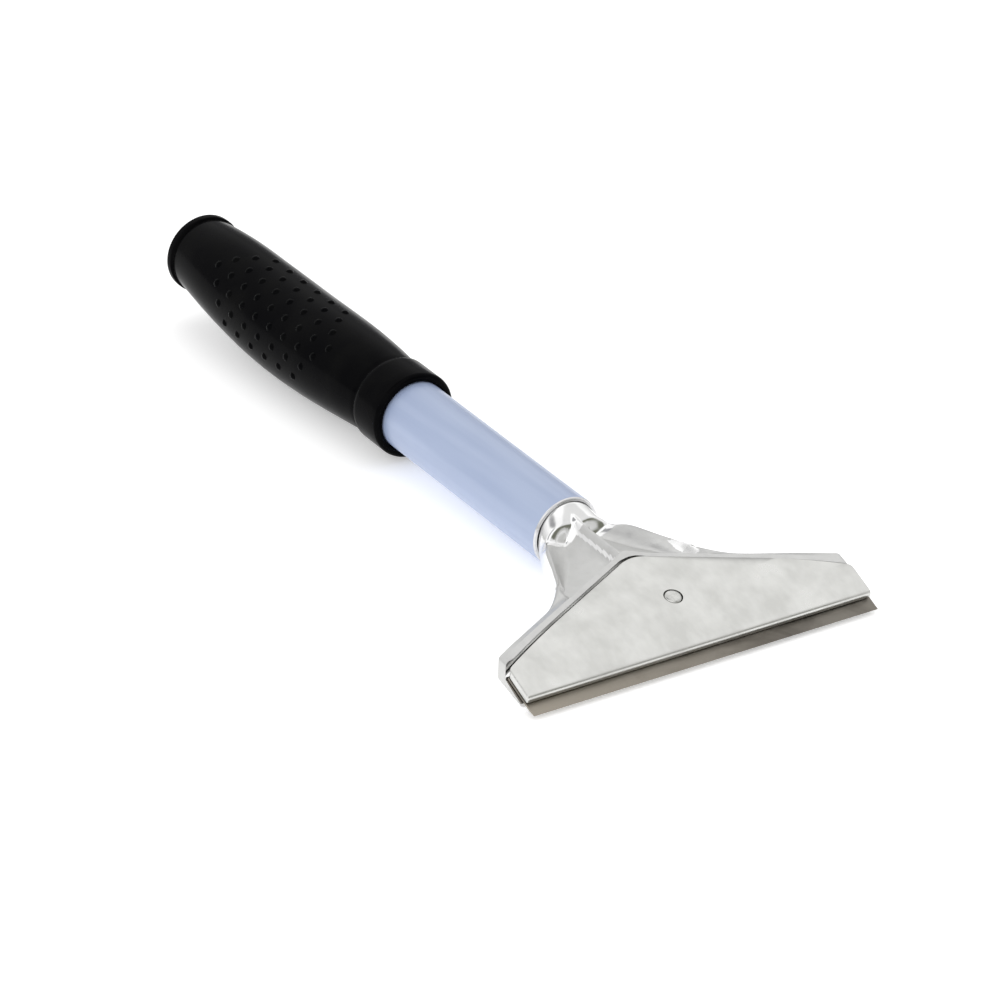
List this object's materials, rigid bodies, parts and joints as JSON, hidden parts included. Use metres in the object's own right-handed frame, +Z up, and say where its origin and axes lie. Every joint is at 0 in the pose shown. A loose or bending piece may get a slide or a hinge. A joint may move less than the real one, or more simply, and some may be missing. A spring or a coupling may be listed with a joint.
{
  "type": "algae scraper",
  "caption": "Wide-bladed hand scraper for algae: a steel blade clamped under a bent plate on a cast head, with a coated tube and a long soft grip dotted for wet hands.",
  "frame": {"origin": "bottom centre of the bounding box, on the surface that the tool lies on", "axes": "+Y along the handle from the blade to the grip's end, +Z up, +X along the blade"},
  "size_m": [0.1178, 0.2778, 0.0339],
  "materials": {
    "cast_metal": "polished",
    "plate_metal": "satin",
    "blade_steel": "dull",
    "zinc_steel": "zinc plated",
    "blue_coat": "satin powder coat",
    "black_grip": "glossy"
  },
  "bodies": {
    "handle_and_head": {"head_casting": "cast_metal", "handle_tube": "blue_coat", "tube_pin": "zinc_steel", "grip_sleeve": "black_grip", "flat_washer": "zinc_steel", "spring_washer": "zinc_steel"},
    "clamp": {"clamp_plate": "plate_metal", "clamp_stud": "zinc_steel"},
    "nut": {"clamp_nut": "zinc_steel"},
    "blade_strip": {"blade": "blade_steel"}
  },
  "joints": [
    {"name": "clamp_nut_turn", "type": "hinge", "parent": "handle_and_head", "child": "nut", "pos_m": [0.0014, -0.11667, 0.00415], "axis": [0, 0.2999, -0.954], "range_deg": [0, 990]},
    {"name": "clamp_lift", "type": "slide", "parent": "handle_and_head", "child": "clamp", "axis": [0, -0.2999, 0.954], "range_m": [0, 0.0022]},
    {"name": "blade_slide", "type": "slide", "parent": "handle_and_head", "child": "blade_strip", "axis": [0, -0.9089, -0.417], "range_m": [0, 0.014]}
  ],
  "couplings": [
    {"joint": "clamp_nut_turn", "follows": "clamp_lift", "rad_per_m": 7854}
  ]
}
